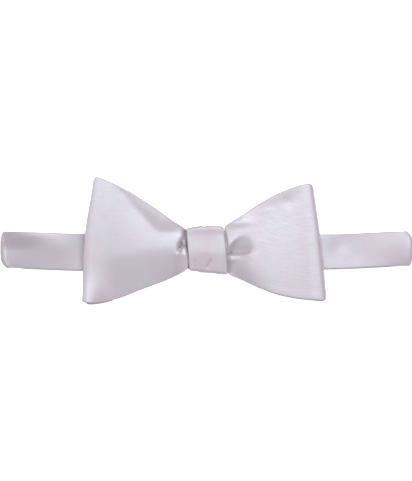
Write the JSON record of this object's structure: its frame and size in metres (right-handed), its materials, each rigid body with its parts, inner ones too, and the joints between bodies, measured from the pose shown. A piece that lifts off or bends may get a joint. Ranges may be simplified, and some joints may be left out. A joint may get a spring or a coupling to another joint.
{
  "type": "tied self-tie bow tie",
  "caption": "Butterfly bow tie of lined satin, tied, with a front and a back bow gathered under a knot wrap on a neck band pressed into a flat loop.",
  "frame": {"origin": "on the surface the tie lies on, under the middle of its overall width and height", "axes": "+X along the neck band to the right of the bow seen from its front, +Y towards the bow's upper edge, +Z out of the bow's front, away from the surface"},
  "size_m": [0.2074, 0.0637, 0.0258],
  "materials": {
    "satin": "pale lilac-grey satin, soft sheen"
  },
  "bodies": {
    "root": {"neck_band": "satin", "back_bow": "satin", "front_bow": "satin", "knot_wrap": "satin"}
  },
  "joints": []
}
